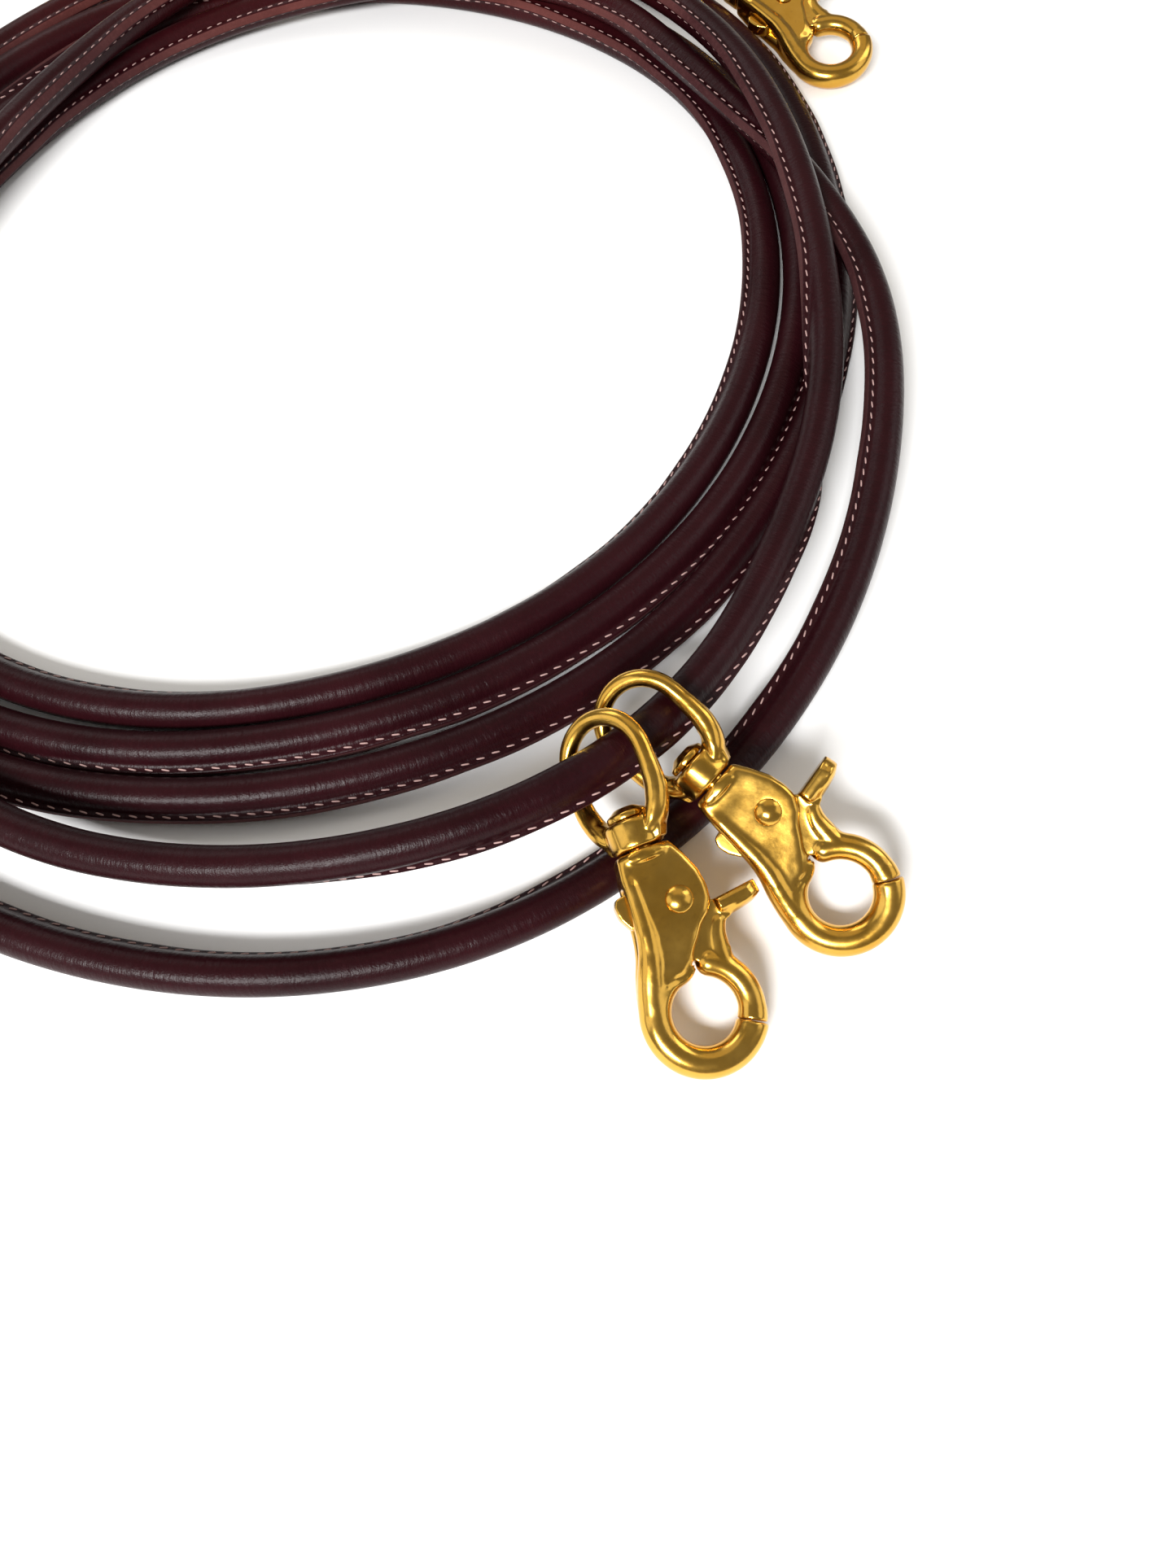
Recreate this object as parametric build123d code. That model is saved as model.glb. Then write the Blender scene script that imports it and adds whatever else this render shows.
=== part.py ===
from build123d import *
import math
import os

# Training leash: one long round line of rolled and sewn leather, coiled in
# about five turns, with a trigger snap sewn to each end and two more trigger
# snaps that slide along the line.
# Millimetres, +Z up. Origin: centre of the footprint, on the surface that the
# leash lies on.

# ---- driving dimensions --------------------------------------------------
LINE_D = 8.8            # leather line, over the leather
LINE_ARC = 0.45         # arc size at each route point, as a part of the shorter run

EYE_WIRE = 3.6          # section of the swivel eye
EYE_HALF = 9.4          # half width of the eye, to the middle of its section
EYE_TIP = 28.7          # neck face to the middle of the eye's far limb
EYE_COLLAR_R = 5.6      # boss at the foot of the eye
EYE_COLLAR_L = 6.2
NECK_GAP = 0.35         # eye boss to casting
POST_R = 2.5            # swivel post
POST_CLEAR = 0.06       # running clearance of the post in the eye boss
POST_HEAD_R = 4.3

HEAD_T = 8.6            # casting thickness at the head
SLOT_T = 4.2            # slot for the lever
PIVOT = (12.0, 2.9)     # rivet axis in the casting's plane
HUB_R = 5.2
RING_C = 34.2           # centre of the hook's round opening, from the neck face
RING_R = 9.8            # opening radius to the middle of the section
RING_WIRE = 6.6         # section of the hook
GATE_WIRE = 5.6         # section of the lever's gate arm
GATE_END = 59.0         # angle at which gate and hook tip meet, from the snap's axis
LEVER_T = 3.6           # lever thickness inside the slot
TANG_T = 3.0            # thumb tang
TANG_W = 7.6
RIVET_R = 2.0
RIVET_HEAD_R = 3.1
SPRING_WIRE = 0.6
SPRING_R = 3.3

LOOP_W = 7.4            # leather end loop, along the eye's limb
LOOP_HOLE = 2.35        # half height of its slot
LOOP_T = 2.0            # its leather
LOOP_REACH = 11.0       # end of the line to the middle of the eye's limb
WRAP_D = 12.4           # leather wrap over the sewn end
WRAP_L = 17.0

# Route of the line's centre, from the first sewn end round to the other.
ROUTE = [
    (92.2, 159.7, 13.10),
    (74.3, 177.0, 15.54),
    (38.4, 182.4, 9.44),
    (-15.6, 179.9, 5.36),
    (-64.6, 160.2, 4.39),
    (-104.0, 126.7, 4.48),
    (-132.9, 83.9, 4.46),
    (-149.7, 34.9, 4.44),
    (-155.1, -16.9, 4.45),
    (-148.7, -68.3, 4.45),
    (-128.7, -116.0, 4.45),
    (-95.0, -155.1, 4.45),
    (-49.8, -180.7, 4.45),
    (1.6, -190.1, 4.45),
    (52.6, -180.5, 4.45),
    (95.3, -151.3, 4.44),
    (125.9, -109.6, 5.48),
    (143.4, -60.2, 8.66),
    (148.1, -8.4, 12.85),
    (133.0, 38.1, 13.76),
    (105.1, 81.8, 13.70),
    (75.0, 122.0, 14.40),
    (34.3, 136.7, 13.32),
    (-15.4, 135.2, 8.67),
    (-61.9, 115.4, 5.00),
    (-95.3, 76.0, 4.34),
    (-116.1, 27.4, 4.53),
    (-123.0, -24.8, 4.41),
    (-111.0, -75.7, 4.45),
    (-77.3, -114.6, 4.45),
    (-27.9, -129.4, 4.45),
    (24.0, -120.1, 4.45),
    (69.7, -94.6, 4.45),
    (101.6, -54.7, 4.45),
    (118.4, -5.6, 4.50),
    (119.5, 46.5, 4.42),
    (102.2, 94.2, 4.43),
    (64.0, 128.9, 4.44),
    (13.4, 145.6, 4.43),
    (-38.2, 141.2, 4.48),
    (-80.7, 114.1, 4.45),
    (-110.1, 71.1, 4.45),
    (-127.5, 21.3, 4.45),
    (-132.2, -31.0, 4.45),
    (-119.8, -81.7, 4.45),
    (-87.1, -120.9, 4.45),
    (-38.7, -138.3, 4.45),
    (13.7, -133.6, 4.45),
    (61.5, -112.8, 4.45),
    (98.7, -77.0, 4.45),
    (122.0, -30.4, 4.45),
    (130.4, 21.4, 4.44),
    (122.9, 73.1, 4.43),
    (95.1, 117.0, 4.51),
    (51.0, 145.6, 4.57),
    (-0.1, 155.7, 4.38),
    (-51.6, 146.8, 4.45),
    (-95.6, 119.6, 4.46),
    (-125.5, 78.0, 4.45),
    (-141.4, 28.7, 4.45),
    (-144.8, -23.4, 4.45),
    (-133.8, -74.4, 4.50),
    (-105.7, -117.3, 4.41),
    (-61.6, -143.9, 4.45),
    (-9.7, -149.8, 4.45),
    (41.3, -137.7, 4.44),
    (84.5, -109.7, 4.45),
    (115.8, -68.2, 4.44),
    (134.9, -20.1, 4.45),
    (139.8, 31.1, 4.37),
    (132.5, 82.9, 4.56),
    (111.6, 130.0, 4.36),
    (71.2, 160.4, 4.66),
    (18.6, 167.7, 8.87),
    (-29.8, 151.2, 14.89),
    (-66.5, 114.7, 14.85),
    (-93.8, 70.2, 13.18),
    (-112.3, 22.3, 12.60),
    (-119.7, -28.7, 13.84),
    (-114.8, -80.9, 14.13),
    (-93.0, -128.1, 13.80),
    (-53.3, -160.3, 12.94),
    (-2.4, -171.2, 16.22),
    (50.4, -163.3, 21.92),
    (90.1, -135.1, 19.56),
    (115.0, -88.5, 13.34),
    (130.8, -39.4, 13.01),
    (131.1, 9.5, 18.84),
    (121.1, 58.7, 23.94),
    (101.7, 105.6, 20.04),
    (65.8, 142.5, 16.70),
    (22.0, 174.1, 16.85),
    (-20.4, 197.2, 16.36),
    (-53.2, 196.6, 12.73),
]

# Snaps: neck centre, heading, nose-down slope and roll of the casting about
# its own axis, and the turn of the eye on its post, in degrees.
SNAPS = {
    "snap_a": ((120.65, 132.23, 9.23), -44.0, 5.6, 11.6, -29.6),
    "snap_left": ((80.45, -165.07, 15.73), -68.0, 15.4, 0.4, 42.6),
    "snap_right": ((96.05, -149.92, 15.63), -40.0, 12.6, 25.7, 18.3),
    "snap_b": ((-92.67, 195.93, 8.38), 181.0, 6.3, 0.0, 12.0),
}


# ---- frames ----------------------------------------------------------------
def snap_axes(heading, slope, roll):
    h, s, r = (math.radians(v) for v in (heading, slope, roll))
    x = Vector(math.cos(h) * math.cos(s), math.sin(h) * math.cos(s), -math.sin(s))
    y0 = Vector(-math.sin(h), math.cos(h), 0)
    z0 = x.cross(y0)
    y = y0 * math.cos(r) + z0 * math.sin(r)
    return x, y, x.cross(y)


def place(shape, neck, heading, slope, roll):
    x, y, z = snap_axes(heading, slope, roll)
    return Plane(origin=neck, x_dir=x, z_dir=z).location * shape


def cyl_x(r, x0, x1):
    """Cylinder along the snap's axis."""
    return Plane(origin=(x0, 0, 0), x_dir=(0, 1, 0), z_dir=(1, 0, 0)).location * Cylinder(
        r, x1 - x0, align=(Align.CENTER, Align.CENTER, Align.MIN))


def cyl_z(r, x, y, z0, z1):
    return Pos(x, y, z0) * Cylinder(r, z1 - z0, align=(Align.CENTER, Align.CENTER, Align.MIN))


def arc_rod(cx, cy, big_r, a0, a1, wire):
    """Round rod bent about (cx, cy) from a0 to a1 degrees."""
    p = CenterArc((cx, cy), big_r, a0, a1 - a0)
    return sweep(Plane(p @ 0, z_dir=p % 0) * Circle(wire / 2), path=p)


def ball(x, y, r):
    return Pos(x, y, 0) * Sphere(r)


# ---- one snap, neck face at the origin, hook towards +X, lever side +Y -----
def make_eye():
    c = 5.0
    pts = [(-3.6, c), (-9.6, EYE_HALF), (-EYE_TIP, EYE_HALF), (-EYE_TIP, -EYE_HALF),
           (-9.6, -EYE_HALF), (-3.6, -c)]
    path = FilletPolyline(*pts, radius=[8.0, EYE_HALF - 0.05, EYE_HALF - 0.05, 8.0])
    rod = sweep(Plane(path @ 0, z_dir=path % 0) * Circle(EYE_WIRE / 2), path=path)
    boss = cyl_x(EYE_COLLAR_R, -NECK_GAP - EYE_COLLAR_L, -NECK_GAP)
    boss = fillet(boss.edges(), 0.9)
    body = boss + rod
    # shoulders that carry the limbs off the boss
    for s in (1, -1):
        prof = make_face(Polyline((-0.9, 0), (-0.9, s * 6.4), (-4.6, s * 8.0), (-9.5, s * (EYE_HALF + 0.6)),
                                  (-9.9, s * (EYE_HALF - 0.9)), (-6.2, s * 3.4), (-6.2, 0), close=True))
        sh = extrude(prof, amount=1.7, both=True)
        body += sh
    bore = cyl_x(POST_R + POST_CLEAR, -NECK_GAP - EYE_COLLAR_L - 1, 1)
    seat = cyl_x(POST_HEAD_R + 0.3, -12.0, -NECK_GAP - EYE_COLLAR_L)
    return body - bore - seat


def make_post():
    top = -NECK_GAP - EYE_COLLAR_L - 0.25
    shaft = cyl_x(POST_R, top - 0.5, 3.2)
    head = cyl_x(POST_HEAD_R, top - 1.2, top)
    dome = Plane(origin=(top - 1.2, 0, 0), x_dir=(0, 1, 0), z_dir=(-1, 0, 0)).location * Cone(
        POST_HEAD_R, 2.2, 1.3, align=(Align.CENTER, Align.CENTER, Align.MIN))
    return shaft + head + dome


def head_outline():
    """Cheek outline in the casting's plane."""
    line = Polyline((0, -5.0), (0.6, -5.8), (5.0, -6.6), (12.0, -7.0), (17.5, -7.6), (23.0, -8.6), (26.4, -9.2),
                    (26.0, -1.6), (24.2, 0.6), (20.6, 3.6), (18.2, 5.4), (16.4, 7.6), (14.0, 9.1), (11.0, 9.4),
                    (7.4, 8.9), (3.6, 7.4), (0.6, 5.9), (0, 5.2), close=True)
    return make_face(line)


def make_casting():
    head = extrude(head_outline(), amount=HEAD_T / 2, both=True)
    head = chamfer(head.faces().sort_by(Axis.Z)[-1].edges() + head.faces().sort_by(Axis.Z)[0].edges(), 0.9)
    # neck collar
    neck = cyl_x(5.6, 0, 2.4)
    # hook: round section from the shank round to the tip
    hook = arc_rod(RING_C, 0, RING_R, 205, 360 + GATE_END - 1.2, RING_WIRE)
    # shank: from the head's lower part into the hook
    a = math.radians(213)
    ex, ey = RING_C + RING_R * math.cos(a), RING_R * math.sin(a)
    tx, ty = -math.sin(a), math.cos(a)
    s0 = Plane(origin=(15.0, -2.6, 0), x_dir=(0, 1, 0), z_dir=(1, 0, 0)) * RectangleRounded(8.6, 8.0, 2.4)
    s1 = Plane(origin=(ex - tx * 5.4 - 0.2, ey - ty * 5.4, 0), x_dir=(-ty, tx, 0), z_dir=(tx, ty, 0)) * RectangleRounded(7.8, 7.2, 2.9)
    s2 = Plane(origin=(ex, ey, 0), x_dir=(-ty, tx, 0), z_dir=(tx, ty, 0)) * RectangleRounded(5.4, 5.4, 2.5)
    shank = loft([s0, s1, s2])
    body = head + neck + shank + hook
    # slot for the lever, open on the lever side and at the back of the head
    slot_face = make_face(Polyline((6.4, -4.4), (7.2, -12), (19.5, -12), (19.9, -4.2), (21.4, -3.0), (24.6, -1.0),
                                   (25.4, 1.2), (27.5, 3.2), (27.5, 16), (4.2, 16), (4.2, 3.0), close=True))
    slot = extrude(slot_face, amount=SLOT_T / 2, both=True)
    hubroom = cyl_z(HUB_R + 1.0, PIVOT[0], PIVOT[1], -SLOT_T / 2, SLOT_T / 2)
    body = body - slot - hubroom
    body -= cyl_z(RIVET_R, PIVOT[0], PIVOT[1], -HEAD_T, HEAD_T)
    body -= cyl_x(POST_R, -1, 3.2)
    # round opening of the hook kept clear of the cheeks' corners
    body -= cyl_z(RING_R - RING_WIRE / 2 - 0.3, RING_C, 0, -HEAD_T, HEAD_T)
    return body


def make_lever():
    px, py = PIVOT
    # plate inside the slot: hub, arm towards the gate, heel at the back
    prof = make_face(Polyline((6.9, 1.2), (7.6, -3.2), (7.2, -6.6), (7.6, -8.6), (9.0, -9.4), (11.6, -9.2), (14.2, -7.8),
                              (15.4, -5.8), (16.0, -3.6), (18.4, -1.9), (23.2, 0.2), (24.6, 2.2), (26.3, 4.6), (27.6, 8.2), (24.4, 9.6),
                              (21.0, 8.6), (19.2, 9.4), (18.6, 12.0), (14.9, 12.0), (14.2, 9.4), (12.0, 8.1), (9.0, 7.1), (7.2, 5.0), close=True))
    plate = extrude(prof, amount=LEVER_T / 2, both=True)
    # gate arm: round section about the hook's opening
    arm = arc_rod(RING_C, 0, RING_R - 0.1, GATE_END + 1.2, 152, GATE_WIRE)
    arm += Pos(RING_C + (RING_R - 0.1) * math.cos(math.radians(152)), (RING_R - 0.1) * math.sin(math.radians(152)), 0) * Sphere(GATE_WIRE / 2)
    # thumb tang: broad plate standing off the lever
    tang = Pos(15.7, 0, 0) * extrude(Plane.XZ * RectangleRounded(TANG_T, TANG_W, 1.2), amount=-19.5)
    tang &= Pos(15.7, 15.2, 0) * Box(12, 10.4, 20)
    tip = Plane(origin=(15.7, 0, 0), x_dir=(0, 1, 0), z_dir=(1, 0, 0)) * (Pos(15.7, 0) * Circle(TANG_W / 2) + Pos(12.6, 0) * Rectangle(8.4, TANG_W))
    tang &= extrude(tip, amount=6, both=True)
    tang = Pos(15.7, 10.4, 0) * Rot(0, 0, 6) * Pos(-15.7, -10.4, 0) * tang
    web = loft([Plane(origin=(16.9, 9.0, 0), x_dir=(1, 0, 0), z_dir=(0, 1, 0)) * RectangleRounded(4.6, LEVER_T, 1.0),
                Plane(origin=(15.6, 12.6, 0), x_dir=(1, 0, 0), z_dir=(0, 1, 0)) * RectangleRounded(2.9, TANG_W - 0.8, 1.0)])
    lever = plate + arm + tang + web
    # pocket for the spring, and the rivet's running bore
    pocket = cyl_z(SPRING_R + 0.75, px, py, LEVER_T / 2 - 1.75, LEVER_T)
    lever = lever - pocket - cyl_z(RIVET_R + 0.05, px, py, -LEVER_T, LEVER_T)
    # opening inside the hook stays round
    lever -= cyl_z(RING_R - RING_WIRE / 2 + 0.15, RING_C, 0, -HEAD_T, HEAD_T)
    return lever


def make_rivet():
    px, py = PIVOT
    shaft = cyl_z(RIVET_R, px, py, -HEAD_T / 2, HEAD_T / 2)
    out = shaft
    for s in (1, -1):
        cap = Pos(0, 0, 0) * Sphere(4.1)
        cap &= Pos(0, 0, 4.1 - 1.35) * Cylinder(RIVET_HEAD_R, 1.35, align=(Align.CENTER, Align.CENTER, Align.MIN))
        cap = Pos(0, 0, -(4.1 - 1.35)) * cap
        if s < 0:
            cap = Rot(180, 0, 0) * cap
        out += Pos(px, py, s * HEAD_T / 2) * cap
    return out


def make_spring():
    """Flat torsion spring round the rivet, in the lever's pocket."""
    px, py = PIVOT
    z0 = LEVER_T / 2 - 1.75 + 0.35
    turns = Helix(pitch=0.62, height=1.24, radius=SPRING_R - 0.35)
    coil = sweep(Plane(turns @ 0, z_dir=turns % 0) * Circle(SPRING_WIRE / 2 - 0.02), path=turns)
    return Pos(px, py, z0) * coil


def make_end_loop():
    """Folded leather loop round the eye's far limb; +X from the line's end to the limb."""
    r0, x0, x1 = LOOP_HOLE, LOOP_REACH - 0.3, LOOP_REACH + 1.0
    ro = r0 + LOOP_T
    outer = make_face(Polyline((4.7, -3.4), (x1 - 1.5, -ro), (x1, -ro), (x1, ro), (x1 - 1.5, ro), (4.7, 3.4), close=True))
    outer += Pos(x1, 0) * Circle(ro)
    hole = make_face(Polyline((x0, -r0), (x1, -r0), (x1, r0), (x0, r0), close=True))
    hole = hole + Pos(x0, 0) * Circle(r0) + Pos(x1, 0) * Circle(r0)
    strap = extrude(Plane.XZ * outer, amount=LOOP_W / 2, both=True)
    strap -= extrude(Plane.XZ * hole, amount=LOOP_W, both=True)
    return strap + cyl_x(LINE_D / 2, 0, 5.2)


def make_wrap():
    """Leather wrap over the join of the line and its end loop."""
    t = cyl_x(WRAP_D / 2, -WRAP_L + 4.6, 4.6)
    t = fillet(t.edges(), 0.8)
    return t - cyl_x(LINE_D / 2 + 0.02, -WRAP_L - 1, 8)


# ---- the line --------------------------------------------------------------
def line_path():
    pts = [Vector(*p) for p in ROUTE]
    radii = []
    for i in range(1, len(pts) - 1):
        a, b = pts[i] - pts[i - 1], pts[i + 1] - pts[i]
        turn = math.radians(a.get_angle(b))
        radii.append(LINE_ARC * min(a.length, b.length) / math.tan(turn / 2))
    print("line: points", len(pts), "radii", [round(r) for r in radii])
    print("smallest radius %.0f mm, %.1f line diameters" % (min(radii), min(radii) / LINE_D))
    return FilletPolyline(*pts, radius=radii)


def main():
    os.makedirs("parts", exist_ok=True)
    path = line_path()
    length = path.length
    start = Plane(path @ 0, z_dir=path % 0)
    line = sweep(start * Circle(LINE_D / 2), path=path)
    print("line length %.1f mm" % length)
    print("line volume / (section x length) = %.4f" % (line.volume / (math.pi * (LINE_D / 2) ** 2 * length)))
    nodes = {"line": line}

    casting, lever, rivet, spring = make_casting(), make_lever(), make_rivet(), make_spring()
    eye, post = make_eye(), make_post()
    for name, (neck, heading, slope, roll, eye_turn) in SNAPS.items():
        where = (neck, heading, slope, roll)
        nodes[name + "_casting"] = place(casting, *where)
        nodes[name + "_lever"] = place(lever, *where)
        nodes[name + "_rivet"] = place(rivet, *where)
        nodes[name + "_spring"] = place(spring, *where)
        nodes[name + "_post"] = place(post, *where)
        nodes[name + "_eye"] = place(Rot(eye_turn, 0, 0) * eye, *where)

    loop, wrap = make_end_loop(), make_wrap()
    for name, end, snap in (("a", path @ 0, "snap_a"), ("b", path @ 1, "snap_b")):
        neck, heading, slope, roll, eye_turn = SNAPS[snap]
        x, y, z = snap_axes(heading, slope, roll)
        t = math.radians(eye_turn)
        ye = y * math.cos(t) + z * math.sin(t)
        ze = x.cross(ye)
        where = Plane(origin=end, x_dir=x, z_dir=ze).location
        nodes["end_loop_" + name] = where * loop
        nodes["end_wrap_" + name] = where * wrap

    for name, shape in nodes.items():
        shape.label = name
        export_step(shape, "parts/%s.step" % name)
    box = Compound(children=list(nodes.values())).bounding_box()
    print("nodes", len(nodes), "box", box.min, box.max)


main()
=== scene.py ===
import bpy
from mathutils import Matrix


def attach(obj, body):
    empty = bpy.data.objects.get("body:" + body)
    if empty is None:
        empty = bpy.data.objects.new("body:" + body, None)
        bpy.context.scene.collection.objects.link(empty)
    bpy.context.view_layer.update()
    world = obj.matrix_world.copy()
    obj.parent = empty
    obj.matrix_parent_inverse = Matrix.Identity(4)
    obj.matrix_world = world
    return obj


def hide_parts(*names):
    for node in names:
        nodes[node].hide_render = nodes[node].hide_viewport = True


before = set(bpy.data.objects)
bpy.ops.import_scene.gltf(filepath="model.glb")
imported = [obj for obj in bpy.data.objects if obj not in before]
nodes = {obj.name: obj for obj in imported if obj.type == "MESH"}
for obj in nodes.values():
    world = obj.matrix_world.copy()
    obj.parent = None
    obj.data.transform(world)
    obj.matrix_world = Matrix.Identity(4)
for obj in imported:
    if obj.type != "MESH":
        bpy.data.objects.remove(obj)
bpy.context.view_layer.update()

import math
import bmesh
import bpy
import numpy as np
from mathutils import Matrix, Vector

coll = bpy.context.scene.collection

# ---- route of the line's centre, metres -----------------------------------
ROUTE = [
    (0.09220, 0.15970, 0.01310),
    (0.07430, 0.17700, 0.01554),
    (0.03840, 0.18240, 0.00944),
    (-0.01560, 0.17990, 0.00536),
    (-0.06460, 0.16020, 0.00439),
    (-0.10400, 0.12670, 0.00448),
    (-0.13290, 0.08390, 0.00446),
    (-0.14970, 0.03490, 0.00444),
    (-0.15510, -0.01690, 0.00445),
    (-0.14870, -0.06830, 0.00445),
    (-0.12870, -0.11600, 0.00445),
    (-0.09500, -0.15510, 0.00445),
    (-0.04980, -0.18070, 0.00445),
    (0.00160, -0.19010, 0.00445),
    (0.05260, -0.18050, 0.00445),
    (0.09530, -0.15130, 0.00444),
    (0.12590, -0.10960, 0.00548),
    (0.14340, -0.06020, 0.00866),
    (0.14810, -0.00840, 0.01285),
    (0.13300, 0.03810, 0.01376),
    (0.10510, 0.08180, 0.01370),
    (0.07500, 0.12200, 0.01440),
    (0.03430, 0.13670, 0.01332),
    (-0.01540, 0.13520, 0.00867),
    (-0.06190, 0.11540, 0.00500),
    (-0.09530, 0.07600, 0.00434),
    (-0.11610, 0.02740, 0.00453),
    (-0.12300, -0.02480, 0.00441),
    (-0.11100, -0.07570, 0.00445),
    (-0.07730, -0.11460, 0.00445),
    (-0.02790, -0.12940, 0.00445),
    (0.02400, -0.12010, 0.00445),
    (0.06970, -0.09460, 0.00445),
    (0.10160, -0.05470, 0.00445),
    (0.11840, -0.00560, 0.00450),
    (0.11950, 0.04650, 0.00442),
    (0.10220, 0.09420, 0.00443),
    (0.06400, 0.12890, 0.00444),
    (0.01340, 0.14560, 0.00443),
    (-0.03820, 0.14120, 0.00448),
    (-0.08070, 0.11410, 0.00445),
    (-0.11010, 0.07110, 0.00445),
    (-0.12750, 0.02130, 0.00445),
    (-0.13220, -0.03100, 0.00445),
    (-0.11980, -0.08170, 0.00445),
    (-0.08710, -0.12090, 0.00445),
    (-0.03870, -0.13830, 0.00445),
    (0.01370, -0.13360, 0.00445),
    (0.06150, -0.11280, 0.00445),
    (0.09870, -0.07700, 0.00445),
    (0.12200, -0.03040, 0.00445),
    (0.13040, 0.02140, 0.00444),
    (0.12290, 0.07310, 0.00443),
    (0.09510, 0.11700, 0.00451),
    (0.05100, 0.14560, 0.00457),
    (-0.00010, 0.15570, 0.00438),
    (-0.05160, 0.14680, 0.00445),
    (-0.09560, 0.11960, 0.00446),
    (-0.12550, 0.07800, 0.00445),
    (-0.14140, 0.02870, 0.00445),
    (-0.14480, -0.02340, 0.00445),
    (-0.13380, -0.07440, 0.00450),
    (-0.10570, -0.11730, 0.00441),
    (-0.06160, -0.14390, 0.00445),
    (-0.00970, -0.14980, 0.00445),
    (0.04130, -0.13770, 0.00444),
    (0.08450, -0.10970, 0.00445),
    (0.11580, -0.06820, 0.00444),
    (0.13490, -0.02010, 0.00445),
    (0.13980, 0.03110, 0.00437),
    (0.13250, 0.08290, 0.00456),
    (0.11160, 0.13000, 0.00436),
    (0.07120, 0.16040, 0.00466),
    (0.01860, 0.16770, 0.00887),
    (-0.02980, 0.15120, 0.01489),
    (-0.06650, 0.11470, 0.01485),
    (-0.09380, 0.07020, 0.01318),
    (-0.11230, 0.02230, 0.01260),
    (-0.11970, -0.02870, 0.01384),
    (-0.11480, -0.08090, 0.01413),
    (-0.09300, -0.12810, 0.01380),
    (-0.05330, -0.16030, 0.01294),
    (-0.00240, -0.17120, 0.01622),
    (0.05040, -0.16330, 0.02192),
    (0.09010, -0.13510, 0.01956),
    (0.11500, -0.08850, 0.01334),
    (0.13080, -0.03940, 0.01301),
    (0.13110, 0.00950, 0.01884),
    (0.12110, 0.05870, 0.02394),
    (0.10170, 0.10560, 0.02004),
    (0.06580, 0.14250, 0.01670),
    (0.02200, 0.17410, 0.01685),
    (-0.02040, 0.19720, 0.01636),
    (-0.05320, 0.19660, 0.01273),
]
# neck centre (mm), heading, slope, roll, turn of the eye (degrees)
SNAPS = {
    "snap_a": ((120.65, 132.23, 9.23), -44.0, 5.6, 11.6, -29.6),
    "snap_left": ((80.45, -165.07, 15.73), -68.0, 15.4, 0.4, 42.6),
    "snap_right": ((96.05, -149.92, 15.63), -40.0, 12.6, 25.7, 18.3),
    "snap_b": ((-92.67, 195.93, 8.38), 181.0, 6.3, 0.0, 12.0),
}
MM = 0.001

# ---- camera -----------------------------------------------------------------
cam_data = bpy.data.cameras.new("camera")
cam_data.sensor_fit = "HORIZONTAL"
cam_data.sensor_width = 36.0
cam_data.lens = 36.0 * 1447.0 / 1445.0
cam_data.clip_start = 0.01
cam_data.clip_end = 20.0
cam = bpy.data.objects.new("camera", cam_data)
coll.objects.link(cam)
cam.location = (0.06985, -0.25707, 0.235027)
cam.rotation_euler = (math.radians(26.0), 0.0, 0.0)
bpy.context.scene.camera = cam


# ---- small node helpers --------------------------------------------------------
def material(name):
    m = bpy.data.materials.new(name)
    m.use_nodes = True
    t = m.node_tree
    t.nodes.clear()
    out = t.nodes.new("ShaderNodeOutputMaterial")
    b = t.nodes.new("ShaderNodeBsdfPrincipled")
    t.links.new(b.outputs["BSDF"], out.inputs["Surface"])
    return m, t, b


def node(t, kind, **sets):
    n = t.nodes.new(kind)
    for k, v in sets.items():
        if k.startswith("i_"):
            n.inputs[k[2:].replace("_", " ")].default_value = v
        else:
            setattr(n, k, v)
    return n


def noise(t, vec, scale, detail=4.0, rough=0.55):
    n = node(t, "ShaderNodeTexNoise")
    n.inputs["Scale"].default_value = scale
    n.inputs["Detail"].default_value = detail
    n.inputs["Roughness"].default_value = rough
    t.links.new(vec, n.inputs["Vector"])
    return n.outputs["Fac"]


def ramp(t, fac, stops, interp="LINEAR"):
    r = t.nodes.new("ShaderNodeValToRGB")
    r.color_ramp.interpolation = interp
    while len(r.color_ramp.elements) < len(stops):
        r.color_ramp.elements.new(0.5)
    for e, (p, c) in zip(r.color_ramp.elements, stops):
        e.position = p
        e.color = (c, c, c, 1) if isinstance(c, (int, float)) else (*c, 1)
    t.links.new(fac, r.inputs["Fac"])
    return r.outputs["Color"]


def mix(t, fac, a, b, mode="MIX"):
    n = t.nodes.new("ShaderNodeMix")
    n.data_type = "RGBA"
    n.blend_type = mode
    for k, v in ((0, fac), (6, a), (7, b)):
        if isinstance(v, (int, float)):
            n.inputs[k].default_value = v
        elif isinstance(v, tuple):
            n.inputs[k].default_value = (*v, 1)
        else:
            t.links.new(v, n.inputs[k])
    return n.outputs[2]


def bump(t, b, height, strength, distance, after=None):
    n = t.nodes.new("ShaderNodeBump")
    n.inputs["Strength"].default_value = strength
    n.inputs["Distance"].default_value = distance
    t.links.new(height, n.inputs["Height"])
    if after is not None:
        t.links.new(after, n.inputs["Normal"])
    t.links.new(n.outputs["Normal"], b.inputs["Normal"])
    return n.outputs["Normal"]


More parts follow.
